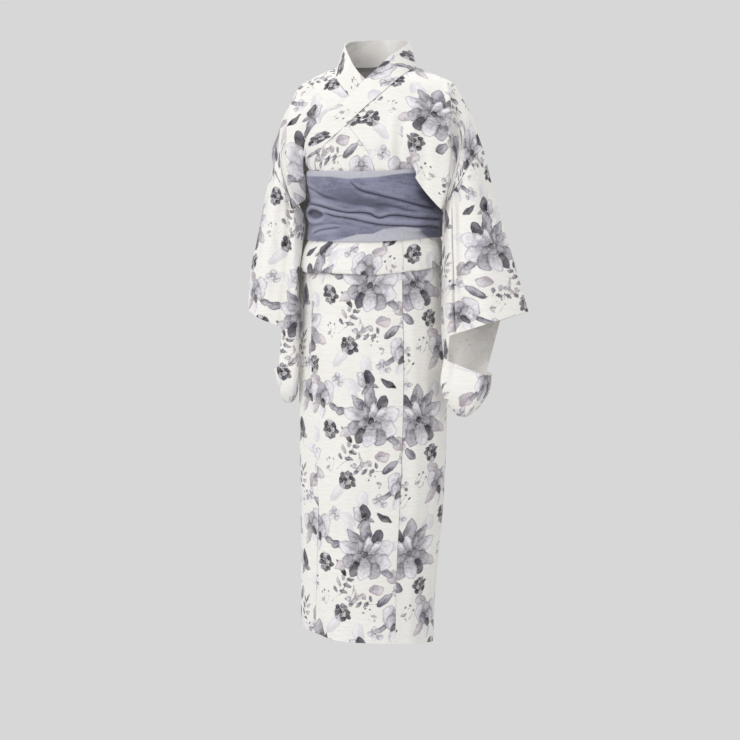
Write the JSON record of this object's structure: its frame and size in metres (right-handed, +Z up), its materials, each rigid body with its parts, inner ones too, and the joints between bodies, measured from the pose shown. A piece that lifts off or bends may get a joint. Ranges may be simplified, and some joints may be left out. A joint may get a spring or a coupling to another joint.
{
  "type": "yukata dress",
  "caption": "Long cotton yukata dress in its worn form, left front over right, with hanging sleeves, a tuck at the waist and a soft wound sash tied in a bow behind.",
  "frame": {"origin": "between the wearer's shoulders at the base of the neck, where the garment hangs from the shoulders", "axes": "+Z up, -Y the front, +X the wearer's left"},
  "size_m": [0.6053, 0.261, 1.2487],
  "materials": {
    "cotton": "matt",
    "sash": "soft sheen"
  },
  "bodies": {
    "root": {"body_panel_left": "cotton", "body_panel_right": "cotton", "overlap_panel_left": "cotton", "overlap_panel_right": "cotton", "collar": "cotton", "sleeve_left": "cotton", "sleeve_right": "cotton", "skirt_back_left": "cotton", "skirt_back_right": "cotton", "skirt_front_left": "cotton", "skirt_front_right": "cotton", "skirt_overlap_left": "cotton", "skirt_overlap_right": "cotton", "sash_wrap": "sash", "sash_knot": "sash", "sash_loop_left": "sash", "sash_loop_right": "sash", "sash_tail_left": "sash", "sash_tail_right": "sash"}
  },
  "joints": []
}
